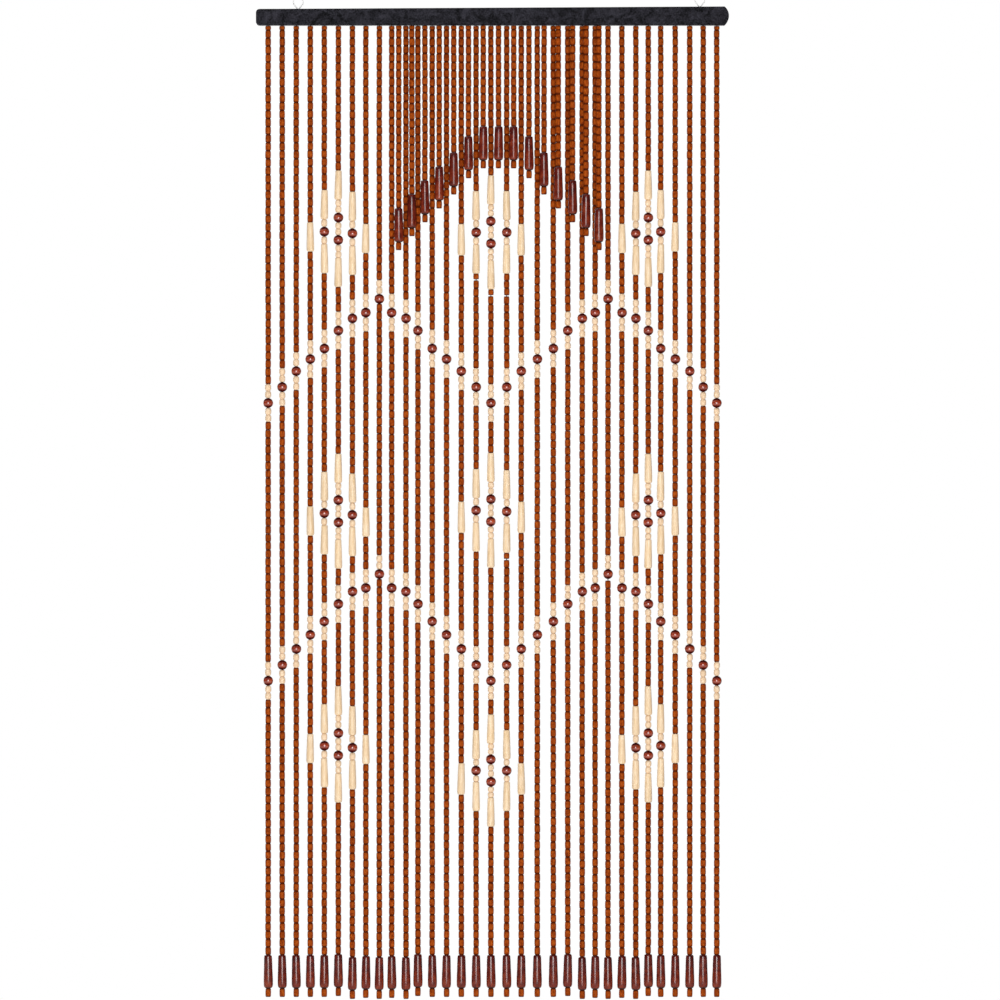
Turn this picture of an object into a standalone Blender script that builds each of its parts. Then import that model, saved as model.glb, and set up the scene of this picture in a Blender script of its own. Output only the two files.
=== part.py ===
"""Bead curtain: two rows of beaded strings hanging from a slim bar with two wire eyes.

Metres, +Z up. The origin is the middle of the bar's flat back, +X runs along the bar and
the curtain's front faces -Y. Depths are measured down from the bar's underside.
"""

import math
from collections import namedtuple

import bmesh
import bpy
from mathutils import Vector

# Clearance between pieces that touch
GAP = 0.0003

# Bar, a little taller at its bulging right end
BAR_LENGTH = 0.900
BAR_DEPTH = 0.034
BAR_BELOW_ORIGIN = 0.0165
BAR_HEIGHT_LEFT = 0.0307
BAR_HEIGHT_RIGHT = 0.0356
BAR_CORNER = 0.0065
BAR_END_BULGE = 0.0084
BAR_EDGE = 0.0012
CORNER_STEPS = 3
BULGE_STEPS = 8

# Wire eyes, each a drop-shaped ring on a stem in the bar's top
EYE_X = {"hanger_left": -0.3698, "hanger_right": 0.3949}
EYE_RADIUS = 0.0093
EYE_CENTRE_ABOVE_BAR = 0.0135
EYE_POINT_ABOVE_BAR = 0.0012
WIRE_RADIUS = 0.0011
STEM_RADIUS = 0.0018
STEM_DEPTH = 0.012
EYE_STEPS = 22
WIRE_SIDES = 6
STEM_SIDES = 10

# Backing strips, let into grooves in the bar's underside
STRIP_WIDTH = 0.008
STRIP_HEIGHT = 0.008
STRIP_MARGIN = 0.009
ROOT_INSIDE_STRIP = 0.004
ROOT_BARE = 0.0006

# Rows of strings
LONG_COUNT = 33
LONG_PITCH = 0.0267
LONG_Y = -0.010
LONG_END_DEPTH = 1.7708
SHORT_COUNT = 15
SHORT_FIRST_LONG = 10
SHORT_Y = -0.024

# Strings and beads
STRING_RADIUS = 0.0018
BARREL_RADIUS = 0.0050
TUBE_TOP_RADIUS = 0.0057
TUBE_WIDE_RADIUS = 0.0069
TUBE_LENGTH = 0.0556
TUBE_TUCK = 0.0035
ROUND_RADIUS = 0.0092
NECK = 0.0014
OCTAGON = math.tan(math.pi / 8)

# Drop at the end of each string, with the last barrel under it
DROP_LENGTH = 0.0635
DROP_SHOULDER = 0.0030
DROP_SHOULDER_RADIUS = 0.0068
DROP_WIDE_AT = 0.83
DROP_WIDE_RADIUS = 0.0082
DROP_TUCK_AT = 0.95
DROP_TUCK_RADIUS = 0.0066
DROP_FOOT_RADIUS = 0.0034
LAST_BEAD_LENGTH = 0.0155

# How far each stretch of long strings hangs off its even place, to be joined by straight lines
Drift = namedtuple("Drift", "string shift")
LONG_DRIFT = (
    Drift(1, 0.0),
    Drift(7, 0.0002),
    Drift(9, -0.0019),
    Drift(10, -0.0050),
    Drift(11, -0.0046),
    Drift(12, -0.0085),
    Drift(14, -0.0074),
    Drift(17, -0.0030),
    Drift(18, 0.0004),
    Drift(19, 0.0014),
    Drift(21, 0.0091),
    Drift(23, 0.0107),
    Drift(25, 0.0065),
    Drift(27, 0.0060),
    Drift(29, 0.0001),
    Drift(31, 0.0019),
    Drift(33, 0.0),
)
SHORT_DRIFT = (
    Drift(1, 0.0),
    Drift(10, -0.0006),
    Drift(12, -0.0043),
    Drift(15, -0.0052),
)

# Zigzags of round beads, by the number of strings from the nearest peak
PEAKS = (9, 25)
Zigzag = namedtuple("Zigzag", "upper lower end_drop")
ZIGZAG = (
    Zigzag(0.5198, 1.0440, 0.0038),
    Zigzag(0.5465, 1.0711, 0.0019),
    Zigzag(0.5579, 1.0779, 0.0038),
    Zigzag(0.5808, 1.1010, -0.0017),
    Zigzag(0.6151, 1.1347, 0.0),
    Zigzag(0.6351, 1.1598, 0.0),
    Zigzag(0.6579, 1.1871, 0.0),
    Zigzag(0.6884, 1.2172, 0.0),
    Zigzag(0.7189, 1.2475, 0.0),
)

# Diamonds of tubes and round beads, with how far the strings beside the middle one sit lower
Diamond = namedtuple("Diamond", "middles depth beside_out beside_in last_out last_in")
DIAMONDS = (
    Diamond((6, 28), 0.3865, 0.0057, 0.0090, 0.0155, 0.0184),
    Diamond((17,), 0.3939, 0.0, 0.0, 0.0136, 0.0136),
    Diamond((6, 28), 0.9247, 0.0042, 0.0076, 0.0189, 0.0211),
    Diamond((17,), 0.9226, 0.0, 0.0027, 0.0143, 0.0144),
    Diamond((6, 28), 1.3683, 0.0034, 0.0072, 0.0085, 0.0100),
    Diamond((17,), 1.4188, 0.0, 0.0, 0.0159, 0.0159),
)
MIDDLE_ROUNDS_APART = 0.0426
MIDDLE_TUBES_APART = 0.1661
BESIDE_TUBES_APART = 0.1018

# Depth of each short string's drop, by the number of strings from the middle one
SHORT_DEPTHS = (0.1910, 0.1910, 0.2099, 0.2408, 0.2674, 0.2937, 0.3200, 0.3467)

# Colours, as linear red, green and blue
BLACK_PAINT = (0.020, 0.020, 0.024)
WHITE_WIRE = (0.70, 0.70, 0.69)
BROWN_STAIN = (0.29, 0.055, 0.010)

Feature = namedtuple("Feature", "kind top bottom")


def clear_scene():
    for thing in list(bpy.data.objects):
        bpy.data.objects.remove(thing, do_unlink=True)


def finish_material(name, colour, roughness, metallic=0.0):
    material = bpy.data.materials.new(name)
    material.use_nodes = True
    shader = material.node_tree.nodes["Principled BSDF"]
    shader.inputs["Base Color"].default_value = (*colour, 1.0)
    shader.inputs["Roughness"].default_value = roughness
    shader.inputs["Metallic"].default_value = metallic
    return material


def add_object(name, bm, material=None):
    bmesh.ops.recalc_face_normals(bm, faces=bm.faces)
    mesh = bpy.data.meshes.new(name)
    bm.to_mesh(mesh)
    bm.free()
    obj = bpy.data.objects.new(name, mesh)
    bpy.context.scene.collection.objects.link(obj)
    if material:
        mesh.materials.append(material)
    return obj


def add_form(name, bm):
    """A form that only cuts or joins another piece."""
    form = add_object(name, bm)
    form.hide_render = True
    form.display_type = "WIRE"
    return form


def combine(obj, form, operation):
    step = obj.modifiers.new(form.name, "BOOLEAN")
    step.operation = operation
    step.solver = "EXACT"
    step.object = form


def loft(bm, rings):
    """Joins rings of equal count into one closed shell."""
    loops = [[bm.verts.new(point) for point in ring] for ring in rings]
    for upper, lower in zip(loops, loops[1:]):
        for i, vert in enumerate(upper):
            after = (i + 1) % len(upper)
            bm.faces.new((vert, upper[after], lower[after], lower[i]))
    bm.faces.new(loops[0])
    bm.faces.new(loops[-1])


def add_box(bm, low, high):
    corners = [(low[0], low[1]), (high[0], low[1]), (high[0], high[1]), (low[0], high[1])]
    loft(bm, [[(x, y, z) for x, y in corners] for z in (high[2], low[2])])


def between(table, position):
    """The value at a position, on straight lines between the table's rows."""
    for low, high in zip(table, table[1:]):
        if low[0] <= position <= high[0]:
            share = (position - low[0]) / (high[0] - low[0])
            return low[1] + share * (high[1] - low[1])
    raise ValueError(position)


def arc(centre, radius, start, end, steps):
    """Points of an arc in the bar's front view, angles in degrees from +X."""
    angles = [math.radians(start + (end - start) * i / steps) for i in range(steps + 1)]
    return [
        (centre[0] + radius * math.cos(a), centre[1] + radius * math.sin(a))
        for a in angles
    ]


def bar_top(x):
    """Height of the bar's top face over the origin at a place along the bar."""
    share = x / BAR_LENGTH + 0.5
    height = BAR_HEIGHT_LEFT + share * (BAR_HEIGHT_RIGHT - BAR_HEIGHT_LEFT)
    return height - BAR_BELOW_ORIGIN


def bar_outline():
    left = -BAR_LENGTH / 2
    right = BAR_LENGTH / 2
    bottom = -BAR_BELOW_ORIGIN
    corner_x = left + BAR_CORNER
    half = (bar_top(right - BAR_END_BULGE) - bottom) / 2
    radius = (half**2 + BAR_END_BULGE**2) / (2 * BAR_END_BULGE)
    turn = math.degrees(math.asin(half / radius))
    points = arc((corner_x, bottom + BAR_CORNER), BAR_CORNER, 180, 270, CORNER_STEPS)
    points += arc((right - radius, bottom + half), radius, -turn, turn, BULGE_STEPS)
    points += arc((corner_x, bar_top(corner_x) - BAR_CORNER), BAR_CORNER, 90, 180, CORNER_STEPS)
    return points


def make_bar(material, grooves):
    bm = bmesh.new()
    outline = bar_outline()
    loft(bm, [[(x, y, z) for x, z in outline] for y in (0.0, -BAR_DEPTH)])
    rims = [edge for edge in bm.edges if edge.verts[0].co.y == edge.verts[1].co.y]
    bmesh.ops.bevel(bm, geom=rims, offset=BAR_EDGE, segments=1, affect="EDGES")
    bar = add_object("header_bar", bm, material)

    cuts = bmesh.new()
    for low, high in grooves:
        add_box(cuts, low, high)
    for x in EYE_X.values():
        add_pin(cuts, x, STEM_RADIUS + GAP, -STEM_DEPTH - GAP, STEM_DEPTH)
    combine(bar, add_form("bar_grooves_and_holes", cuts), "DIFFERENCE")
    return bar


def add_pin(bm, x, radius, low, high):
    """A round pin at the middle of the bar's top, its ends measured from the top face."""
    y = -BAR_DEPTH / 2
    turns = [math.tau * i / STEM_SIDES for i in range(STEM_SIDES)]
    ring = [(x + radius * math.cos(t), y + radius * math.sin(t)) for t in turns]
    loft(bm, [[(px, py, bar_top(x) + z) for px, py in ring] for z in (high, low)])


def eye_path():
    """Centre line of a wire eye: a circle drawn down to a point, in X and height."""
    point_drop = EYE_CENTRE_ABOVE_BAR - EYE_POINT_ABOVE_BAR
    tangent = math.degrees(math.acos(EYE_RADIUS / point_drop))
    start = -90 + tangent
    circle = arc((0.0, EYE_CENTRE_ABOVE_BAR), EYE_RADIUS, start, 270 - tangent, EYE_STEPS)
    return [(0.0, EYE_POINT_ABOVE_BAR)] + circle


def make_eye(name, x, material):
    path = [Vector((x + px, -BAR_DEPTH / 2, bar_top(x) + pz)) for px, pz in eye_path()]
    across = Vector((0.0, 1.0, 0.0))
    bm = bmesh.new()
    loops = []
    for i, point in enumerate(path):
        before = (point - path[i - 1]).normalized()
        after = (path[(i + 1) % len(path)] - point).normalized()
        along = (before + after).normalized()
        outward = across.cross(along) / max(along.dot(after), 0.5)
        turns = [math.tau * k / WIRE_SIDES for k in range(WIRE_SIDES)]
        loops.append(
            [
                bm.verts.new(point + WIRE_RADIUS * (outward * math.cos(t) + across * math.sin(t)))
                for t in turns
            ]
        )
    for here, there in zip(loops, loops[1:] + loops[:1]):
        for k in range(WIRE_SIDES):
            after = (k + 1) % WIRE_SIDES
            bm.faces.new((here[k], here[after], there[after], there[k]))
    eye = add_object(name, bm, material)

    stem = bmesh.new()
    add_pin(stem, x, STEM_RADIUS, -STEM_DEPTH, EYE_POINT_ABOVE_BAR)
    combine(eye, add_form(name + "_stem", stem), "UNION")
    eye.data.shade_smooth()
    return eye


def long_x(string):
    middle = (LONG_COUNT + 1) / 2
    return (string - middle) * LONG_PITCH + between(LONG_DRIFT, string)


def short_x(string):
    """Short strings hang in front of the spaces between the long ones."""
    left = long_x(SHORT_FIRST_LONG + string - 1)
    right = long_x(SHORT_FIRST_LONG + string)
    return (left + right) / 2 + between(SHORT_DRIFT, string)


def steps_from_peak(string):
    return min(abs(string - peak) for peak in PEAKS)


def round_bead(depth):
    return Feature("round", depth - ROUND_RADIUS, depth + ROUND_RADIUS)


def tube(depth):
    return Feature("tube", depth - TUBE_LENGTH / 2, depth + TUBE_LENGTH / 2)


def diamond_features(diamond, string):
    """The tubes and round beads that one diamond puts on one string."""
    features = []
    for middle in diamond.middles:
        steps = string - middle
        outward = steps < 0 if middle <= (LONG_COUNT + 1) / 2 else steps > 0
        if steps == 0:
            for side in (-0.5, 0.5):
                features.append(round_bead(diamond.depth + side * MIDDLE_ROUNDS_APART))
                features.append(tube(diamond.depth + side * MIDDLE_TUBES_APART))
        elif abs(steps) == 1:
            depth = diamond.depth + (diamond.beside_out if outward else diamond.beside_in)
            features.append(round_bead(depth))
            for side in (-0.5, 0.5):
                features.append(tube(depth + side * BESIDE_TUBES_APART))
        elif abs(steps) == 2:
            depth = diamond.depth + (diamond.last_out if outward else diamond.last_in)
            features.append(tube(depth))
    return features


def long_features(string):
    row = ZIGZAG[steps_from_peak(string)]
    features = [round_bead(row.upper), round_bead(row.lower)]
    for diamond in DIAMONDS:
        features += diamond_features(diamond, string)
    drop_top = LONG_END_DEPTH + row.end_drop
    features.append(Feature("drop", drop_top, drop_top + DROP_LENGTH))
    return sorted(features, key=lambda feature: feature.top)


def short_features(string):
    drop_top = SHORT_DEPTHS[abs(string - (SHORT_COUNT + 1) // 2)]
    return [Feature("drop", drop_top, drop_top + DROP_LENGTH)]


def feature_profile(feature):
    """Depth and radius of each ring that a feature needs."""
    top = feature.top
    bottom = feature.bottom
    if feature.kind == "tube":
        return [
            (top, BARREL_RADIUS),
            (top, TUBE_TOP_RADIUS),
            (bottom - TUBE_TUCK, TUBE_WIDE_RADIUS),
            (bottom, BARREL_RADIUS),
        ]
    if feature.kind == "round":
        centre = (top + bottom) / 2
        flat = ROUND_RADIUS * OCTAGON
        return [
            (top - NECK, BARREL_RADIUS),
            (top, flat),
            (centre - flat, ROUND_RADIUS),
            (centre + flat, ROUND_RADIUS),
            (bottom, flat),
            (bottom + NECK, BARREL_RADIUS),
        ]
    return [
        (top, BARREL_RADIUS),
        (top + DROP_SHOULDER, DROP_SHOULDER_RADIUS),
        (top + DROP_WIDE_AT * DROP_LENGTH, DROP_WIDE_RADIUS),
        (top + DROP_TUCK_AT * DROP_LENGTH, DROP_TUCK_RADIUS),
        (bottom, DROP_FOOT_RADIUS),
        (bottom + NECK, BARREL_RADIUS),
        (bottom + LAST_BEAD_LENGTH, BARREL_RADIUS),
    ]


def add_string(bm, x, y, features):
    """One four-sided strand, its corners to the left, right, front and back."""
    profile = [
        (-ROOT_INSIDE_STRIP, STRING_RADIUS),
        (ROOT_BARE, STRING_RADIUS),
        (ROOT_BARE, BARREL_RADIUS),
    ]
    for feature in features:
        profile += feature_profile(feature)
    rings = []
    for depth, radius in profile:
        z = -BAR_BELOW_ORIGIN - depth
        rings.append([(x + radius, y, z), (x, y + radius, z), (x - radius, y, z), (x, y - radius, z)])
    loft(bm, rings)


def strip_box(places, y, clearance):
    """Lowest and highest corner of a backing strip, or of its groove with a clearance."""
    low = Vector((places[0] - STRIP_MARGIN, y - STRIP_WIDTH / 2, -BAR_BELOW_ORIGIN))
    high = Vector((places[-1] + STRIP_MARGIN, y + STRIP_WIDTH / 2, STRIP_HEIGHT - BAR_BELOW_ORIGIN))
    spread = Vector((clearance, clearance, clearance))
    return low - spread, high + spread


def make_strings(name, places, y, features, material):
    """A row of strands fused by their roots into one backing strip."""
    bm = bmesh.new()
    add_box(bm, *strip_box(places, y, 0.0))
    row = add_object(name, bm, material)
    strands = bmesh.new()
    for i, x in enumerate(places):
        add_string(strands, x, y, features(i + 1))
    combine(row, add_form(name + "_strands", strands), "UNION")
    return row


def main():
    clear_scene()
    long_places = [long_x(i + 1) for i in range(LONG_COUNT)]
    short_places = [short_x(i + 1) for i in range(SHORT_COUNT)]
    paint = finish_material("black_paint", BLACK_PAINT, 0.5)
    wire = finish_material("white_wire", WHITE_WIRE, 0.35)
    grooves = [strip_box(long_places, LONG_Y, GAP), strip_box(short_places, SHORT_Y, GAP)]
    make_bar(paint, grooves)
    for name, x in EYE_X.items():
        make_eye(name, x, wire)
    for name, places, y, features in (
        ("long_strings", long_places, LONG_Y, long_features),
        ("short_strings", short_places, SHORT_Y, short_features),
    ):
        stain = finish_material(name + "_stain", BROWN_STAIN, 0.4)
        make_strings(name, places, y, features, stain)


main()
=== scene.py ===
"""Finished look of a doorway bead curtain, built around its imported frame.

Metres, +Z up, the curtain's front faces -Y. Depths are measured down from the bar's underside.
Every string is worked out as a list of beads from its top to its end. Each kind of bead is one
turned profile, which Geometry Nodes threads on all the places where that kind hangs.
"""

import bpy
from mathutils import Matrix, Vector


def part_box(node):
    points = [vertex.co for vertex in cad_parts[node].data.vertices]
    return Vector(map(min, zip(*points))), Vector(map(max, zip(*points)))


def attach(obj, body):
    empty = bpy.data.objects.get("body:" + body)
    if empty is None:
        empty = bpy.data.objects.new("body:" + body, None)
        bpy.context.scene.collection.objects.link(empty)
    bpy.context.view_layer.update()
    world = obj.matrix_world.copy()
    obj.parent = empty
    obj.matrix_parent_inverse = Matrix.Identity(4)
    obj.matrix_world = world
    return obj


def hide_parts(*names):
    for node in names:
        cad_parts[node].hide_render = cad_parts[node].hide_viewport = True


bl_info = {
    "name": "Bead Curtain",
    "version": (1, 0, 0),
    "blender": (4, 5, 0),
    "location": "3D View > Sidebar > Curtain",
    "description": "Threads a doorway curtain of wooden beads under a painted bar",
    "category": "Add Mesh",
}

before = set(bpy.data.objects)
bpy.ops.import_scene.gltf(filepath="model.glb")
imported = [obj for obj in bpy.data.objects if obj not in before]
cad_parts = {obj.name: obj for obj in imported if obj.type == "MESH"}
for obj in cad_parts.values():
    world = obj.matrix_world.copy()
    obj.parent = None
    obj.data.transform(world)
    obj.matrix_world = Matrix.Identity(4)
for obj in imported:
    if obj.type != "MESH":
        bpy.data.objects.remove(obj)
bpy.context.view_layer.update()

import math
from collections import namedtuple

import bmesh
import bpy
from bpy.props import FloatProperty, FloatVectorProperty, PointerProperty
from bpy.types import Operator, Panel, PropertyGroup
from mathutils import Vector

BODY = "root"

# Places that the frame gives
BAR_LOW, BAR_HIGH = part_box("header_bar")
LONG_LOW, LONG_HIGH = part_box("long_strings")
SHORT_LOW, SHORT_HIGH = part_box("short_strings")
UNDERSIDE = BAR_LOW.z
LONG_Y = (LONG_LOW.y + LONG_HIGH.y) / 2
SHORT_Y = (SHORT_LOW.y + SHORT_HIGH.y) / 2
BAR_MIDDLE_Y = (BAR_LOW.y + BAR_HIGH.y) / 2

# Clearance round a piece that sits in the bar
GAP = 0.0003

# Rows of strings
LONG_COUNT = 33
LONG_PITCH = 0.0267
LONG_END_DEPTH = 1.7699
SHORT_COUNT = 15
SHORT_FIRST_LONG = 10
ROOT_BARE = 0.0006
STRINGS_PER_PIECE = 3

# How far each stretch of long strings hangs off its even place, to be joined by straight lines
Drift = namedtuple("Drift", "string shift")
LONG_DRIFT = (
    Drift(1, 0.0),
    Drift(7, 0.0002),
    Drift(9, -0.0019),
    Drift(10, -0.0050),
    Drift(11, -0.0046),
    Drift(12, -0.0085),
    Drift(14, -0.0074),
    Drift(17, -0.0030),
    Drift(18, 0.0004),
    Drift(19, 0.0014),
    Drift(21, 0.0091),
    Drift(23, 0.0107),
    Drift(25, 0.0065),
    Drift(27, 0.0060),
    Drift(29, 0.0001),
    Drift(31, 0.0019),
    Drift(33, 0.0),
)
SHORT_DRIFT = (
    Drift(1, 0.0),
    Drift(10, -0.0006),
    Drift(12, -0.0043),
    Drift(15, -0.0052),
)

# Zigzags of round beads, by the number of strings from the nearest peak
PEAKS = (9, 25)
Zigzag = namedtuple("Zigzag", "upper lower end_drop")
ZIGZAG = (
    Zigzag(0.5204, 1.0446, 0.0038),
    Zigzag(0.5467, 1.0712, 0.0019),
    Zigzag(0.5577, 1.0779, 0.0038),
    Zigzag(0.5808, 1.1016, -0.0017),
    Zigzag(0.6151, 1.1348, 0.0),
    Zigzag(0.6352, 1.1604, 0.0),
    Zigzag(0.6582, 1.1873, 0.0),
    Zigzag(0.6885, 1.2178, 0.0),
    Zigzag(0.7188, 1.2479, 0.0),
)

# Length of the two small pale beads above or below a zigzag's round bead
PALE_PAIR_LENGTH = 0.0265

# Diamonds of tubes and round beads: how far the strings beside the middle one sit lower, outwards
# and inwards, how far apart the two tubes of a string are, and the length of the outermost tubes
Diamond = namedtuple(
    "Diamond",
    "middles depth beside_out beside_in last_out last_in middle_apart beside_apart last_length",
)
DIAMONDS = (
    Diamond((6, 28), 0.3870, 0.0055, 0.0088, 0.0157, 0.0186, 0.1661, 0.1030, 0.0556),
    Diamond((17,), 0.3939, 0.0, 0.0, 0.0140, 0.0140, 0.1617, 0.1018, 0.0600),
    Diamond((6, 28), 0.9250, 0.0036, 0.0070, 0.0186, 0.0208, 0.1631, 0.1018, 0.0556),
    Diamond((17,), 0.9233, 0.0, 0.0022, 0.0133, 0.0133, 0.1631, 0.1018, 0.0596),
    Diamond((6, 28), 1.3689, 0.0028, 0.0066, 0.0080, 0.0098, 0.1661, 0.1030, 0.0556),
    Diamond((17,), 1.4190, 0.0, 0.0, 0.0159, 0.0159, 0.1582, 0.0985, 0.0598),
)
MIDDLE_ROUNDS_APART = 0.0426

# Lengths of the beads, and of a string's end from its drop's top to the last barrel's foot
TUBE_LENGTH = 0.0556
ROUND_LENGTH = 0.0189
LONG_DROP_LENGTH = 0.0636
SHORT_DROP_LENGTH = 0.0652
END_LENGTH = 0.0802

# Where bare cord shows between two beads of a long string: its number, the depth and the length
BARE_SPOTS = (
    (16, 0.4843, 0.0019),
    (17, 0.5144, 0.0019),
    (18, 0.5147, 0.0019),
    (18, 1.0168, 0.0019),
    (25, 1.0556, 0.0028),
)

# Depth of each short string's drop, by the number of strings from the middle one
SHORT_DEPTHS = (0.1922, 0.1922, 0.2111, 0.2420, 0.2686, 0.2949, 0.3212, 0.3479)

# Outlines of the beads: share of the length from the top, share of the widest radius
BARREL_OUTLINE = ((0.0, 0.78), (0.10, 0.95), (0.34, 1.0), (0.66, 1.0), (0.90, 0.95), (1.0, 0.78))
PALE_OUTLINE = ((0.0, 0.60), (0.10, 0.80), (0.30, 0.97), (0.70, 0.97), (0.90, 0.80), (1.0, 0.60))
TUBE_OUTLINE = (
    (0.0, 0.74),
    (0.012, 0.815),
    (0.10, 0.84),
    (0.45, 0.93),
    (0.80, 0.99),
    (0.91, 1.0),
    (0.96, 0.95),
    (0.985, 0.84),
    (1.0, 0.70),
)
DROP_OUTLINE = (
    (0.0, 0.56),
    (0.010, 0.73),
    (0.038, 0.825),
    (0.10, 0.86),
    (0.45, 0.93),
    (0.80, 1.0),
    (0.90, 0.985),
    (0.955, 0.90),
    (0.985, 0.74),
    (1.0, 0.54),
)
CORD_OUTLINE = ((0.0, 1.0), (1.0, 1.0))

# Round bead: share of its radius at the drilled ends, and the steps of its outline
ROUND_POLE = 0.22
ROUND_OUTLINE_STEPS = 12

# Sides and rings of each kind's mesh, and the seed of the small differences between its beads
Mesh = namedtuple("Mesh", "sides rings seed")
BARREL_MESH = Mesh(12, 6, 11)
PALE_MESH = Mesh(14, 7, 23)
TUBE_MESH = Mesh(20, 13, 31)
ROUND_MESH = Mesh(20, 12, 41)
DROP_MESH = Mesh(24, 17, 53)
CORD_MESH = Mesh(8, 2, 71)

# A face of a bead that looks this much up or down is its flat end
FLAT_END = 0.99

# Bar
BAR_CORNER = 0.0065
BAR_END_BULGE = 0.0084
BAR_EDGE = 0.0030
BAR_EDGE_SEGMENTS = 5
CORNER_STEPS = 8
BULGE_STEPS = 24
BAR_HEIGHT_LEFT = 0.0307
BAR_HEIGHT_RIGHT = 0.0356
SMOOTH_ANGLE = math.radians(32)

# Backing strips in the bar's underside
STRIP_WIDTH = 0.008
STRIP_HEIGHT = 0.008
STRIP_MARGIN = 0.009
STRIP_EDGE = 0.0004

# Wire eyes
EYE_X = {"hanger_left": -0.3698, "hanger_right": 0.3949}
EYE_RADIUS = 0.0093
EYE_CENTRE_ABOVE_BAR = 0.0135
EYE_FOOT_HALF_WIDTH = 0.0010
EYE_FOOT_DEPTH = 0.0115
EYE_HOLE_RADIUS = 0.0021
EYE_HOLE_SIDES = 24
EYE_STEPS = 40
WIRE_SIDES = 12

Feature = namedtuple("Feature", "kind top bottom")
Bead = namedtuple("Bead", "kind x y top bottom")


def seen(red, green, blue):
    """Linear colour of a shade that is named as a screen shows it, from 0 to 255."""
    shares = [value / 255 for value in (red, green, blue)]
    return tuple(s / 12.92 if s <= 0.04045 else ((s + 0.055) / 1.055) ** 2.4 for s in shares)


# Colours as a screen shows them
Tones = namedtuple("Tones", "dark middle light end")
BROWN = Tones(seen(111, 40, 9), seen(157, 67, 13), seen(184, 90, 24), seen(70, 17, 5))
PALE = Tones(seen(232, 199, 153), seen(244, 215, 176), seen(251, 229, 200), seen(204, 168, 125))
# The small pale beads' end tone is painted shade where they meet the beads beside them.
PALE_PINK = Tones(seen(235, 200, 161), seen(245, 214, 178), seen(251, 227, 198), seen(208, 170, 134))
# The round beads' end tone is painted shade, which they darken to towards their poles.
RED_BROWN = Tones(seen(120, 32, 12), seen(154, 48, 14), seen(182, 76, 30), seen(62, 8, 8))
MAROON = Tones(seen(54, 5, 5), seen(84, 13, 8), seen(118, 34, 18), seen(70, 9, 8))
MAROON_FOOT = Tones(seen(84, 20, 10), seen(118, 36, 16), seen(152, 64, 30), seen(24, 2, 3))
PAINT_DARK = seen(8, 8, 11)
PAINT_LIGHT = seen(57, 56, 64)
WIRE_WHITE = seen(250, 250, 249)
CORD_BROWN = seen(70, 30, 18)
FLOOR_PALE = seen(248, 247, 244)

# Turned woods: the grain's scale and its stretch along the bead, the blotches' scale and share,
# how much the beads' shades differ, where the darker ends begin and are full as shares of the
# way from the bead's middle to its end, how dark they are, and the surface
Wood = namedtuple(
    "Wood",
    "grain stretch blotch blotch_share shade_spread end_from end_to end_share bump roughness specular",
)
BARREL_WOOD = Wood(620.0, 0.18, 240.0, 0.45, 0.08, 0.50, 1.0, 0.95, 0.25, 0.50, 0.03)
TUBE_WOOD = Wood(480.0, 0.08, 150.0, 0.20, 0.03, 0.93, 1.0, 0.50, 0.12, 0.40, 0.35)
# The small pale beads' darker ends are painted shade in the gaps where they meet other beads.
SMALL_WOOD = Wood(480.0, 0.20, 150.0, 0.30, 0.03, 0.60, 1.0, 0.50, 0.12, 0.40, 0.30)
# The round beads' darker ends are painted shade towards their poles, where the beads above and below
# shade them.
ROUND_WOOD = Wood(330.0, 0.30, 110.0, 0.50, 0.08, 0.20, 0.72, 1.0, 0.04, 0.50, 0.02)
DROP_WOOD = Wood(330.0, 0.22, 110.0, 0.50, 0.08, 0.90, 0.97, 1.0, 0.012, 0.50, 0.02)
FIGURE_PLACES = (0.34, 0.50, 0.66)
RELIEF_DEPTH = 0.0003

# Lamps, each at a place from the middle of the picture and turned to it
Lamp = namedtuple("Lamp", "name place size power")
LAMPS = (
    Lamp("Key light", (0.0, -6.0, -0.15), (2.6, 3.2), "key_power"),
    Lamp("Back light", (-1.0, 6.0, 0.6), (4.2, 4.4), "back_power"),
    Lamp("Top light", (0.0, -0.3, 4.0), (5.0, 5.0), "top_power"),
    Lamp("Side light", (-4.2, -1.2, 3.8), (3.0, 3.0), "side_power"),
)
FLOOR_LOW = (-12.0, -12.0)
FLOOR_HIGH = (12.0, 5.6)


def number_property(name, description, default, least=0.0, unit="NONE"):
    return FloatProperty(
        name=name, description=description, default=default, min=least, unit=unit
    )


def length_property(name, description, default, least=0.0):
    return number_property(name, description, default, least, "LENGTH")


def power_property(name, description, default):
    return number_property(name, description, default, unit="POWER")


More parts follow.
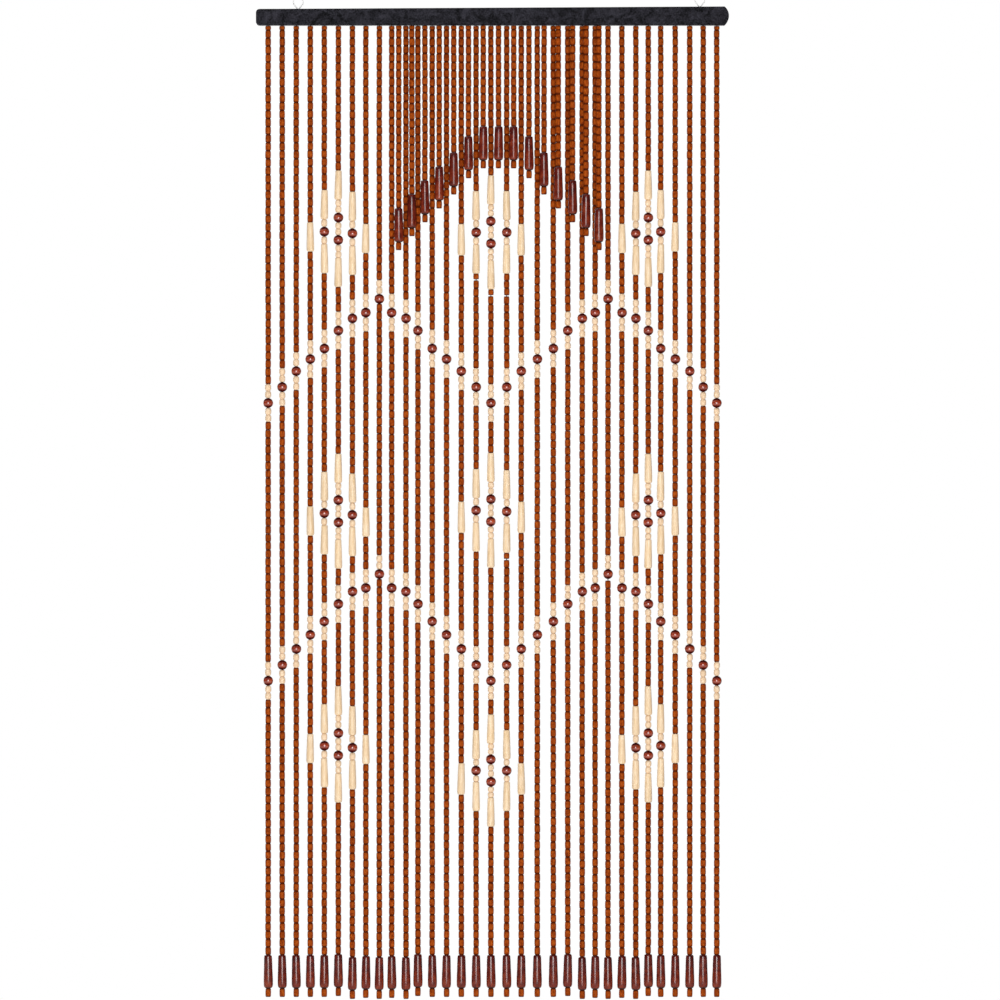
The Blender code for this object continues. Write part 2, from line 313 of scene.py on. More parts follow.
class CurtainSizes(PropertyGroup):
    """Sizes of the beads, the wire and the way they hang."""

    barrel_pitch: length_property(
        "Barrel Length", "Length of a brown barrel bead before a run is fitted evenly", 0.01531, 0.005
    )
    barrel_radius: length_property(
        "Barrel Radius", "Widest radius of a brown barrel bead", 0.00545, 0.001
    )
    pale_radius: length_property(
        "Pale Bead Radius", "Widest radius of a small pale bead", 0.0060, 0.001
    )
    tube_radius: length_property(
        "Tube Radius", "Radius of a pale tube near its lower end", 0.0073, 0.001
    )
    round_radius: length_property(
        "Round Bead Radius", "Radius of a red-brown round bead", 0.0096, 0.001
    )
    drop_radius: length_property(
        "Drop Radius", "Widest radius of the drop at a string's end", 0.0089, 0.001
    )
    cord_radius: length_property(
        "Cord Radius", "Radius of the cord that the beads are threaded on", 0.0009, 0.0002
    )
    wire_radius: length_property("Wire Radius", "Radius of the eyes' wire", 0.00105, 0.0002)
    bead_gap: length_property("Bead Gap", "Bare cord between two beads", 0.0001)
    sway: length_property("Sway", "How far a bead may sit off its string's middle line", 0.00022)
    tilt: FloatProperty(
        name="Tilt",
        description="How far a bead may lean on its cord",
        default=math.radians(0.8),
        min=0.0,
        subtype="ANGLE",
        unit="ROTATION",
    )
    width_spread: FloatProperty(
        name="Width Spread",
        description="How much the beads differ in width, as a share of their radius",
        default=0.015,
        min=0.0,
        max=0.2,
        subtype="FACTOR",
    )


def colour_property(name, description, default):
    return FloatVectorProperty(
        name=name,
        description=description,
        default=default,
        size=3,
        min=0.0,
        max=1.0,
        subtype="COLOR",
    )


class CurtainColours(PropertyGroup):
    """Middle tones of the finishes; the darker and lighter ones keep their step from them."""

    barrel: colour_property("Barrels", "Stain of the brown barrel beads", BROWN.middle)
    tube: colour_property("Tubes", "Bare wood of the pale tubes", PALE.middle)
    small: colour_property("Small Beads", "Bare wood of the small pale beads", PALE_PINK.middle)
    ball: colour_property("Round Beads", "Lacquer of the red-brown round beads", RED_BROWN.middle)
    drop: colour_property("Drops", "Lacquer of the upper part of the drops", MAROON.middle)
    paint: colour_property("Bar Paint", "Lighter clouds in the bar's black paint", PAINT_LIGHT)
    wire: colour_property("Wire", "Coating of the wire eyes", WIRE_WHITE)
    cord: colour_property("Cord", "Cord that the beads are threaded on", CORD_BROWN)


class CurtainStage(PropertyGroup):
    """Camera, floor and studio light."""

    frame_width: length_property("Frame Width", "Width of the picture at the curtain", 1.9048, 0.1)
    frame_centre: FloatVectorProperty(
        name="Frame Centre",
        description="Point of the curtain's plane in the middle of the picture",
        default=(0.0144, LONG_Y, -0.9201),
        size=3,
        subtype="XYZ",
        unit="LENGTH",
    )
    camera_distance: length_property(
        "Camera Distance", "How far the camera stands in front of the curtain", 20.0, 1.0
    )
    floor_below: length_property("Floor Below", "Height of the lowest bead above the floor", 0.30)
    floor_colour: colour_property("Floor", "Colour of the plain floor", FLOOR_PALE)
    floor_glow: number_property(
        "Floor Glow", "Light that the floor gives off, like a lit table", 0.32
    )
    ambient: number_property("Ambient Light", "Strength of the light from all round", 0.10)
    mirrored: number_property("Mirrored Room", "How bright the room looks in gloss", 0.05)
    key_power: power_property("Key Light", "Power of the large soft light in front", 230.0)
    back_power: power_property("Back Light", "Power of the large soft light behind", 180.0)
    top_power: power_property("Top Light", "Power of the large soft light above", 110.0)
    side_power: power_property("Side Light", "Power of the soft light at the upper left", 30.0)


def between(table, position):
    """The value at a position, on straight lines between the table's rows."""
    for low, high in zip(table, table[1:]):
        if low[0] <= position <= high[0]:
            share = (position - low[0]) / (high[0] - low[0])
            return low[1] + share * (high[1] - low[1])
    raise ValueError(position)


def long_x(string):
    middle = (LONG_COUNT + 1) / 2
    return (string - middle) * LONG_PITCH + between(LONG_DRIFT, string)


def short_x(string):
    """Short strings hang in front of the spaces between the long ones."""
    left = long_x(SHORT_FIRST_LONG + string - 1)
    right = long_x(SHORT_FIRST_LONG + string)
    return (left + right) / 2 + between(SHORT_DRIFT, string)


def round_bead(depth):
    return Feature("round", depth - ROUND_LENGTH / 2, depth + ROUND_LENGTH / 2)


def tube(depth, length=TUBE_LENGTH):
    return Feature("tube", depth - length / 2, depth + length / 2)


def pale_run(top, bottom, count):
    """Small pale beads that share the space between two depths."""
    step = (bottom - top) / count
    return [Feature("pale", top + i * step, top + (i + 1) * step) for i in range(count)]


def bare_spots(string):
    return [
        Feature("bare", depth - length / 2, depth + length / 2)
        for spot, depth, length in BARE_SPOTS
        if spot == string
    ]


def zigzag_features(depth, at_peak):
    """A round bead with a pale pair above it, and below it but for a peak."""
    bead = round_bead(depth)
    features = pale_run(bead.top - PALE_PAIR_LENGTH, bead.top, 2) + [bead]
    if not at_peak:
        features += pale_run(bead.bottom, bead.bottom + PALE_PAIR_LENGTH, 2)
    return features


def diamond_features(diamond, string):
    """The beads that one diamond puts on one string."""
    for middle in diamond.middles:
        steps = string - middle
        outward = steps < 0 if middle <= (LONG_COUNT + 1) / 2 else steps > 0
        if steps == 0:
            tubes = [tube(diamond.depth + side * diamond.middle_apart) for side in (-0.5, 0.5)]
            rounds = [
                round_bead(diamond.depth + side * MIDDLE_ROUNDS_APART) for side in (-0.5, 0.5)
            ]
            order = [tubes[0], *rounds, tubes[1]]
            pairs = [pale_run(a.bottom, b.top, 2) for a, b in zip(order, order[1:])]
            return order + sum(pairs, [])
        if abs(steps) == 1:
            depth = diamond.depth + (diamond.beside_out if outward else diamond.beside_in)
            tubes = [tube(depth + side * diamond.beside_apart) for side in (-0.5, 0.5)]
            order = [tubes[0], round_bead(depth), tubes[1]]
            singles = [pale_run(a.bottom, b.top, 1) for a, b in zip(order, order[1:])]
            return order + sum(singles, [])
        if abs(steps) == 2:
            depth = diamond.depth + (diamond.last_out if outward else diamond.last_in)
            return [tube(depth, diamond.last_length)]
    return []


def long_features(string):
    steps = min(abs(string - peak) for peak in PEAKS)
    row = ZIGZAG[steps]
    features = zigzag_features(row.upper, steps == 0) + zigzag_features(row.lower, steps == 0)
    for diamond in DIAMONDS:
        features += diamond_features(diamond, string)
    features += bare_spots(string)
    drop_top = LONG_END_DEPTH + row.end_drop
    features.append(Feature("drop", drop_top, drop_top + LONG_DROP_LENGTH))
    return sorted(features, key=lambda feature: feature.top)


def short_features(string):
    drop_top = SHORT_DEPTHS[abs(string - (SHORT_COUNT + 1) // 2)]
    return [Feature("drop", drop_top, drop_top + SHORT_DROP_LENGTH)]


def barrel_run(top, bottom, pitch, half_first):
    """Barrels that fill the space between two depths evenly; a first one may be half as long."""
    start = 0.5 if half_first else 0.0
    count = max(round((bottom - top) / pitch - start), 0)
    if count + start == 0:
        return []
    step = (bottom - top) / (count + start)
    marks = [top] + [top + (start + i) * step for i in range(0 if half_first else 1, count + 1)]
    return [Feature("barrel", a, b) for a, b in zip(marks, marks[1:])]


def thread(x, y, features, pitch):
    """All the beads of one string, from its top to its last barrel, without its bare cord."""
    threaded = []
    depth = ROOT_BARE
    for feature in features:
        threaded += barrel_run(depth, feature.top, pitch, depth == ROOT_BARE)
        threaded.append(feature)
        depth = feature.bottom
    threaded.append(Feature("barrel", depth, threaded[-1].top + END_LENGTH))
    return [
        Bead(feature.kind, x, y, feature.top, feature.bottom)
        for feature in threaded
        if feature.kind != "bare"
    ]


def long_strings(sizes):
    return [
        thread(long_x(i), LONG_Y, long_features(i), sizes.barrel_pitch)
        for i in range(1, LONG_COUNT + 1)
    ]


def short_strings(sizes):
    return [
        thread(short_x(i), SHORT_Y, short_features(i), sizes.barrel_pitch)
        for i in range(1, SHORT_COUNT + 1)
    ]


def set_inputs(tree, step, inputs):
    """Sets a node's inputs to plain values, to sockets, or to other nodes' first outputs."""
    for key, value in inputs.items():
        if isinstance(value, bpy.types.Node):
            value = value.outputs[0]
        if isinstance(value, bpy.types.NodeSocket):
            tree.links.new(value, step.inputs[key])
        else:
            step.inputs[key].default_value = value


def add_node(tree, kind, inputs=None, **settings):
    step = tree.nodes.new(kind)
    for name, value in settings.items():
        setattr(step, name, value)
    set_inputs(tree, step, inputs or {})
    return step


def calculate(tree, operation, *values):
    """A Math node, in a shader's tree or a geometry tree."""
    return add_node(tree, "ShaderNodeMath", dict(enumerate(values)), operation=operation)


def shape_curve(step, outline):
    """Gives a Float Curve node the outline's points."""
    curve = step.mapping.curves[0]
    for point in outline[1:-1]:
        curve.points.new(*point)
    curve.points[0].location = outline[0]
    curve.points[-1].location = outline[-1]
    for point in curve.points:
        point.handle_type = "AUTO_CLAMPED"
    step.mapping.update()


def new_tree(name, inputs, result):
    """A new geometry tree, the outputs of its input node and its output node."""
    tree = bpy.data.node_groups.new(name, "GeometryNodeTree")
    tree.is_modifier = True
    for socket, kind in inputs.items():
        tree.interface.new_socket(socket, in_out="INPUT", socket_type="NodeSocket" + kind)
    tree.interface.new_socket(result, in_out="OUTPUT", socket_type="NodeSocketGeometry")
    return tree, add_node(tree, "NodeGroupInput").outputs, add_node(tree, "NodeGroupOutput")


def finish_tree(tree, geometry, material, result):
    """Makes the instances real, gives them their material and hands them out."""
    real = add_node(tree, "GeometryNodeRealizeInstances", {"Geometry": geometry})
    finished = add_node(
        tree, "GeometryNodeSetMaterial", {"Geometry": real, "Material": material}
    )
    set_inputs(tree, result, {0: finished})


def circle(tree, sides, radius):
    return add_node(
        tree,
        "GeometryNodeCurvePrimitiveCircle",
        {"Resolution": sides, "Radius": radius},
        mode="RADIUS",
    )


def named_value(tree, name):
    return add_node(tree, "GeometryNodeInputNamedAttribute", {"Name": name}, data_type="FLOAT")


def store_value(tree, geometry, name, value, domain):
    return add_node(
        tree,
        "GeometryNodeStoreNamedAttribute",
        {"Geometry": geometry, "Name": name, "Value": value},
        data_type="FLOAT",
        domain=domain,
    )


def turned_bead(tree, outline, mesh):
    """One bead, one metre long and one metre in radius, its rings closer near its ends."""
    index = add_node(tree, "GeometryNodeInputIndex")
    turn = calculate(tree, "MULTIPLY", index, math.pi / (mesh.rings - 1))
    height = calculate(tree, "MULTIPLY", calculate(tree, "COSINE", turn), 0.5)
    share = calculate(tree, "SUBTRACT", 0.5, height)
    line = add_node(tree, "GeometryNodeMeshLine", {"Count": mesh.rings, "Offset": (0.0, 0.0, 0.0)})
    place = add_node(tree, "ShaderNodeCombineXYZ", {"Z": height})
    axis = add_node(tree, "GeometryNodeSetPosition", {"Geometry": line, "Position": place})
    marked = store_value(tree, axis, "along", share, "POINT")
    curve = add_node(tree, "GeometryNodeMeshToCurve", {"Mesh": marked})
    profile = add_node(tree, "ShaderNodeFloatCurve", {"Value": named_value(tree, "along")})
    shape_curve(profile, outline)
    turned = add_node(
        tree,
        "GeometryNodeCurveToMesh",
        {
            "Curve": curve,
            "Profile Curve": circle(tree, mesh.sides, 1.0),
            "Scale": profile,
            "Fill Caps": True,
        },
    )
    normal = add_node(tree, "GeometryNodeInputNormal")
    upright = add_node(tree, "ShaderNodeSeparateXYZ", {0: normal}).outputs["Z"]
    side = add_node(
        tree,
        "FunctionNodeCompare",
        {"A": calculate(tree, "ABSOLUTE", upright), "B": FLAT_END},
        data_type="FLOAT",
        operation="LESS_THAN",
    )
    return add_node(
        tree,
        "GeometryNodeSetShadeSmooth",
        {"Geometry": turned, "Shade Smooth": side},
        domain="FACE",
    )


def vector(tree, across, up=0.0):
    """A vector that is the same along X and Y."""
    return add_node(tree, "ShaderNodeCombineXYZ", {"X": across, "Y": across, "Z": up})


def random_vector(tree, low, high, seed):
    return add_node(
        tree,
        "FunctionNodeRandomValue",
        {"Min": low, "Max": high, "Seed": seed},
        data_type="FLOAT_VECTOR",
    )


def random_number(tree, low, high, seed):
    step = add_node(
        tree, "FunctionNodeRandomValue", {2: low, 3: high, "Seed": seed}, data_type="FLOAT"
    )
    return step.outputs[1]


def bead_tree(name, outline, mesh):
    """Threads one turned bead on each point, as long as the point says.

    The beads differ a little in place, lean and width, and each keeps a shade of its own.
    """
    inputs = {
        "Places": "Geometry",
        "Radius": "Float",
        "Width Spread": "Float",
        "Sway": "Float",
        "Tilt": "Float",
        "Material": "Material",
    }
    tree, given, result = new_tree(name, inputs, "Beads")
    less_sway = calculate(tree, "MULTIPLY", given["Sway"], -1.0)
    offset = random_vector(
        tree, vector(tree, less_sway), vector(tree, given["Sway"]), mesh.seed
    )
    places = add_node(
        tree, "GeometryNodeSetPosition", {"Geometry": given["Places"], "Offset": offset}
    )
    less_tilt = calculate(tree, "MULTIPLY", given["Tilt"], -1.0)
    lean = random_vector(
        tree, vector(tree, less_tilt), vector(tree, given["Tilt"], math.tau), mesh.seed + 1
    )
    narrow = calculate(tree, "SUBTRACT", 1.0, given["Width Spread"])
    wide = calculate(tree, "ADD", 1.0, given["Width Spread"])
    spread = random_number(tree, narrow, wide, mesh.seed + 2)
    width = calculate(tree, "MULTIPLY", given["Radius"], spread)
    threaded = add_node(
        tree,
        "GeometryNodeInstanceOnPoints",
        {
            "Points": places,
            "Instance": turned_bead(tree, outline, mesh),
            "Rotation": add_node(tree, "FunctionNodeEulerToRotation", {0: lean}),
            "Scale": vector(tree, width, named_value(tree, "bead_length")),
        },
    )
    shade = random_number(tree, 0.0, 1.0, mesh.seed + 3)
    shaded = store_value(tree, threaded, "shade", shade, "INSTANCE")
    finish_tree(tree, shaded, given["Material"], result)
    return tree


def wire_tree():
    """Bends a round wire along a path of edges."""
    inputs = {"Path": "Geometry", "Radius": "Float", "Material": "Material"}
    tree, given, result = new_tree("Wire along path", inputs, "Wire")
    curve = add_node(tree, "GeometryNodeMeshToCurve", {"Mesh": given["Path"]})
    ring = circle(tree, WIRE_SIDES, given["Radius"])
    wire = add_node(
        tree,
        "GeometryNodeCurveToMesh",
        {"Curve": curve, "Profile Curve": ring, "Fill Caps": True},
    )
    smooth = add_node(tree, "GeometryNodeSetShadeSmooth", {"Geometry": wire})
    finish_tree(tree, smooth, given["Material"], result)
    return tree


def add_object(name, mesh, material=None):
    obj = bpy.data.objects.new(name, mesh)
    bpy.context.scene.collection.objects.link(obj)
    if material:
        mesh.materials.append(material)
    return obj


def make_plain(obj):
    """Replaces an object's modifiers with the plain mesh that they give."""
    graph = bpy.context.evaluated_depsgraph_get()
    mesh = bpy.data.meshes.new_from_object(
        obj.evaluated_get(graph), preserve_all_data_layers=True, depsgraph=graph
    )
    if not mesh.polygons:
        raise RuntimeError(obj.name + " came out empty")
    source = obj.data
    obj.modifiers.clear()
    obj.data = mesh
    mesh.name = obj.name
    bpy.data.meshes.remove(source)


def run_tree(obj, tree, values):
    """Sets the tree's inputs by their sockets' identifiers and makes its result plain."""
    step = obj.modifiers.new(tree.name, "NODES")
    step.node_group = tree
    for socket in tree.interface.items_tree:
        if socket.in_out == "INPUT" and socket.name in values:
            step[socket.identifier] = values[socket.name]
    make_plain(obj)


def dress(obj, slot, *nodes):
    """Fixes a finished piece to the frame's body and hides the nodes that it stands for; the slot is
    not used.
    """
    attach(obj, BODY)
    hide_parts(*nodes)


def bead_places(name, beads, gap):
    """A point in the middle of each bead, with the bead's length."""
    mesh = bpy.data.meshes.new(name)
    mesh.from_pydata([(b.x, b.y, UNDERSIDE - (b.top + b.bottom) / 2) for b in beads], [], [])
    lengths = mesh.attributes.new("bead_length", "FLOAT", "POINT")
    lengths.data.foreach_set("value", [b.bottom - b.top - gap for b in beads])
    return add_object(name, mesh)


def thread_beads(name, beads, tree, radius, sizes, material, slot, node):
    """One piece: all the given beads, threaded by the tree."""
    obj = bead_places(name, beads, sizes.bead_gap)
    values = {
        "Radius": radius,
        "Width Spread": sizes.width_spread,
        "Sway": sizes.sway,
        "Tilt": sizes.tilt,
        "Material": material,
    }
    run_tree(obj, tree, values)
    dress(obj, slot, node)


def of_kind(strings, kind):
    return [bead for string in strings for bead in string if bead.kind == kind]


def new_material(name):
    """A new material, its tree, its shader and a socket with the object's own coordinates."""
    material = bpy.data.materials.new(name)
    material.use_nodes = True
    tree = material.node_tree
    where = add_node(tree, "ShaderNodeTexCoord").outputs["Object"]
    return material, tree, tree.nodes["Principled BSDF"], where


def noise(tree, where, scale, detail=2.0, roughness=0.5, distortion=0.0):
    inputs = {
        "Vector": where,
        "Scale": scale,
        "Detail": detail,
        "Roughness": roughness,
        "Distortion": distortion,
    }
    return add_node(tree, "ShaderNodeTexNoise", inputs)


def relief(tree, strength, depth, height):
    inputs = {"Strength": strength, "Distance": depth, "Height": height}
    return add_node(tree, "ShaderNodeBump", inputs)


def mix_number(tree, factor, first, second):
    return add_node(tree, "ShaderNodeMix", {0: factor, 2: first, 3: second}, data_type="FLOAT")


def mix_colour(tree, blend, factor, first, second):
    inputs = {0: factor, 6: first, 7: second}
    return add_node(tree, "ShaderNodeMix", inputs, data_type="RGBA", blend_type=blend).outputs[2]


def spread_range(tree, value, from_low, from_high, to_low, to_high, smooth=False):
    return add_node(
        tree,
        "ShaderNodeMapRange",
        {0: value, 1: from_low, 2: from_high, 3: to_low, 4: to_high},
        interpolation_type="SMOOTHSTEP" if smooth else "LINEAR",
    )


def tone_ramp(tree, value, *tones):
    """Colour ramp of (place, colour) tones."""
    ramp = add_node(tree, "ShaderNodeValToRGB", {0: value})
    elements = ramp.color_ramp.elements
    while len(elements) < len(tones):
        elements.new(0.5)
    for element, (place, colour) in zip(elements, tones):
        element.position = place
        element.color = (*colour, 1.0)
    return ramp


def shifted(colour, default, tones=None):
    """Tones changed as the user changed the middle colour of the default ones."""
    steps = [c / m for c, m in zip(colour, default.middle)]
    return Tones(
        *(tuple(min(t * s, 1.0) for t, s in zip(tone, steps)) for tone in tones or default)
    )


def figure_ramp(tree, figure, tones):
    return tone_ramp(tree, figure, *zip(FIGURE_PLACES, (tones.dark, tones.middle, tones.light)))


Finish = namedtuple("Finish", "material tree shader along from_middle")


def wood_finish(name, wood, tones, foot=None):
    """Turned wood: grain along the bead, blotches, a shade of its own and darker ends.

    It turns to the foot's tones towards the bead's lower end, where they are given.
    """
    material, tree, shader, where = new_material(name)
    stretched = add_node(
        tree, "ShaderNodeMapping", {"Vector": where, "Scale": (1.0, 1.0, wood.stretch)}
    )
    grain = noise(tree, stretched, wood.grain, detail=3.0, distortion=0.3)
    figure = mix_number(tree, wood.blotch_share, grain, noise(tree, where, wood.blotch))
    colour = figure_ramp(tree, figure, tones)
    end = (*tones.end, 1.0)
    along = add_node(tree, "ShaderNodeAttribute", attribute_name="along").outputs["Fac"]
    if foot:
        colour = mix_colour(tree, "MIX", along, colour, figure_ramp(tree, figure, foot))
        end = mix_colour(tree, "MIX", along, end, (*foot.end, 1.0))
    shade = add_node(tree, "ShaderNodeAttribute", attribute_name="shade").outputs["Fac"]
    level = spread_range(
        tree, shade, 0.0, 1.0, 1.0 - wood.shade_spread, 1.0 + wood.shade_spread
    )
    grey = add_node(tree, "ShaderNodeCombineColor", {"Red": level, "Green": level, "Blue": level})
    toned = mix_colour(tree, "MULTIPLY", 1.0, colour, grey)
    off_middle = calculate(tree, "ABSOLUTE", calculate(tree, "SUBTRACT", along, 0.5))
    from_middle = calculate(tree, "MULTIPLY", off_middle, 2.0)
    # On the round beads and the small pale beads these darker ends are painted shade.
    edge = spread_range(
        tree, from_middle, wood.end_from, wood.end_to, 0.0, wood.end_share, smooth=True
    )
    surface = {
        "Base Color": mix_colour(tree, "MIX", edge, toned, end),
        "Normal": relief(tree, wood.bump, RELIEF_DEPTH, grain),
        "Roughness": wood.roughness,
        "Specular IOR Level": wood.specular,
    }
    set_inputs(tree, shader, surface)
    return Finish(material, tree, shader, along, from_middle)


def lacquer(finish, weight, roughness, refraction):
    """Lays clear lacquer over a turned bead, as full as the weight says."""
    coat = {"Coat Weight": weight, "Coat Roughness": roughness, "Coat IOR": refraction}
    set_inputs(finish.tree, finish.shader, coat)
    return finish.material


def brown_wood(name, colours):
    return wood_finish(name, BARREL_WOOD, shifted(colours.barrel, BROWN)).material


def pale_wood(name, colours):
    return wood_finish(name, TUBE_WOOD, shifted(colours.tube, PALE)).material


def small_pale_wood(name, colours):
    # Its darker ends are painted shade where the small beads meet their neighbours.
    return wood_finish(name, SMALL_WOOD, shifted(colours.small, PALE_PINK)).material


def round_lacquer(name, colours):
    """Lacquer that is fullest round the bead's middle; the wood darkens to painted shade at the poles.
    """
    finish = wood_finish(name, ROUND_WOOD, shifted(colours.ball, RED_BROWN))
    weight = spread_range(finish.tree, finish.from_middle, 0.18, 0.62, 1.0, 0.0, smooth=True)
    return lacquer(finish, weight, roughness=0.23, refraction=1.9)


def drop_lacquer(name, colours):
    """Lacquer that is thinner and redder towards the drop's foot."""
    foot = shifted(colours.drop, MAROON, MAROON_FOOT)
    finish = wood_finish(name, DROP_WOOD, shifted(colours.drop, MAROON), foot)
    weight = spread_range(finish.tree, finish.along, 0.05, 0.93, 1.0, 0.40)
    return lacquer(finish, weight, roughness=0.20, refraction=1.70)


def black_paint(name, colours):
    """Black paint with faint grey clouds and wisps."""
    material, tree, shader, where = new_material(name)
    clouds = noise(tree, where, 38.0, detail=5.0, roughness=0.62, distortion=1.6)
    figure = mix_number(tree, 0.42, clouds, noise(tree, where, 420.0))
    surface = {
        "Base Color": tone_ramp(tree, figure, (0.40, PAINT_DARK), (0.66, colours.paint)),
        "Normal": relief(tree, 0.2, RELIEF_DEPTH, figure),
        "Roughness": spread_range(tree, clouds, 0.3, 0.7, 0.55, 0.7),
        "Specular IOR Level": 0.04,
    }
    set_inputs(tree, shader, surface)
    return material


def plain_finish(name, colour, roughness, scale, depth, darkest):
    """A coated or waxed surface with a fine unevenness; its darkest tone is a share of its colour."""
    material, tree, shader, where = new_material(name)
    figure = noise(tree, where, scale)
    darker = [darkest * value for value in colour]
    surface = {
        "Base Color": tone_ramp(tree, figure, (0.35, darker), (0.6, colour)),
        "Normal": relief(tree, 0.2, depth, figure),
        "Roughness": roughness,
    }
    set_inputs(tree, shader, surface)
    return material


FINISHES = {
    "Brown stained wood": brown_wood,
    "Pale wood": pale_wood,
    "Pale wood of small beads": small_pale_wood,
    "Red-brown lacquer": round_lacquer,
    "Maroon lacquer": drop_lacquer,
    "Clouded black paint": black_paint,
}


def shared(name, colours):
    """A finish that several pieces share, made when it is first asked for."""
    return bpy.data.materials.get(name) or FINISHES[name](name, colours)


def loft(bm, rings):
    """Joins rings of equal count into one closed shell."""
    loops = [[bm.verts.new(point) for point in ring] for ring in rings]
    for upper, lower in zip(loops, loops[1:]):
        for i, vert in enumerate(upper):
            after = (i + 1) % len(upper)
            bm.faces.new((vert, upper[after], lower[after], lower[i]))
    bm.faces.new(loops[0])
    bm.faces.new(loops[-1])


def add_box(bm, low, high):
    corners = [(low[0], low[1]), (high[0], low[1]), (high[0], high[1]), (low[0], high[1])]
    loft(bm, [[(x, y, z) for x, y in corners] for z in (high[2], low[2])])


def closed_mesh(name, bm):
    bmesh.ops.recalc_face_normals(bm, faces=bm.faces)
    mesh = bpy.data.meshes.new(name)
    bm.to_mesh(mesh)
    bm.free()
    return mesh


def arc(centre, radius, start, end, steps):
    """Points of an arc in the front view, angles in degrees from +X."""
    angles = [math.radians(start + (end - start) * i / steps) for i in range(steps + 1)]
    return [
        (centre[0] + radius * math.cos(a), centre[1] + radius * math.sin(a)) for a in angles
    ]


def bar_top(x):
    """Height of the bar's top face at a place along the bar."""
    share = (x - BAR_LOW.x) / (BAR_HIGH.x - BAR_LOW.x)
    return UNDERSIDE + BAR_HEIGHT_LEFT + share * (BAR_HEIGHT_RIGHT - BAR_HEIGHT_LEFT)


def bar_outline():
    corner_x = BAR_LOW.x + BAR_CORNER
    half = (bar_top(BAR_HIGH.x - BAR_END_BULGE) - UNDERSIDE) / 2
    radius = (half**2 + BAR_END_BULGE**2) / (2 * BAR_END_BULGE)
    turn = math.degrees(math.asin(half / radius))
    points = arc((corner_x, UNDERSIDE + BAR_CORNER), BAR_CORNER, 180, 270, CORNER_STEPS)
    points += arc((BAR_HIGH.x - radius, UNDERSIDE + half), radius, -turn, turn, BULGE_STEPS)
    points += arc((corner_x, bar_top(corner_x) - BAR_CORNER), BAR_CORNER, 90, 180, CORNER_STEPS)
    return points


def strip_box(xs, y, clearance):
    """Lowest and highest corner of a backing strip, or of its groove with a clearance."""
    low = Vector((xs[0] - STRIP_MARGIN, y - STRIP_WIDTH / 2, UNDERSIDE))
    high = Vector((xs[-1] + STRIP_MARGIN, y + STRIP_WIDTH / 2, UNDERSIDE + STRIP_HEIGHT))
    spread = Vector((clearance, clearance, clearance))
    return low - spread, high + spread


def rows():
    """Name, string places, depth place and CAD node of each row."""
    long_places = [long_x(i) for i in range(1, LONG_COUNT + 1)]
    short_places = [short_x(i) for i in range(1, SHORT_COUNT + 1)]
    return (
        ("long", long_places, LONG_Y, "long_strings"),
        ("short", short_places, SHORT_Y, "short_strings"),
    )


def eye_path(x):
    """Middle line of an eye: up from its hole, round the ring, and down beside itself."""
    top = bar_top(x)
    half = EYE_FOOT_HALF_WIDTH
    centre_height = EYE_CENTRE_ABOVE_BAR
    reach = math.hypot(half, centre_height)
    tangent = math.degrees(math.acos(EYE_RADIUS / reach))
    lean = math.degrees(math.atan2(half, centre_height))
    start = -90 + lean + tangent
    ring = arc((0.0, centre_height), EYE_RADIUS, start, 180 - start, EYE_STEPS)
    foot = [(half, -EYE_FOOT_DEPTH), (half, -EYE_FOOT_DEPTH / 2), (half, 0.0)]
    path = foot + ring + [(-px, pz) for px, pz in reversed(foot)]
    return [(x + px, BAR_MIDDLE_Y, top + pz) for px, pz in path]


def add_eye_hole(bm, x):
    """The form that is cut out of the bar's top for an eye's foot."""
    turns = [math.tau * i / EYE_HOLE_SIDES for i in range(EYE_HOLE_SIDES)]
    ring = [
        (x + EYE_HOLE_RADIUS * math.cos(t), BAR_MIDDLE_Y + EYE_HOLE_RADIUS * math.sin(t))
        for t in turns
    ]
    top = bar_top(x)
    heights = (top + BAR_EDGE, top - EYE_FOOT_DEPTH - 2 * GAP)
    loft(bm, [[(px, py, z) for px, py in ring] for z in heights])


def smooth_round_parts(obj):
    obj.data.shade_smooth()
    obj.data.set_sharp_from_angle(angle=SMOOTH_ANGLE)


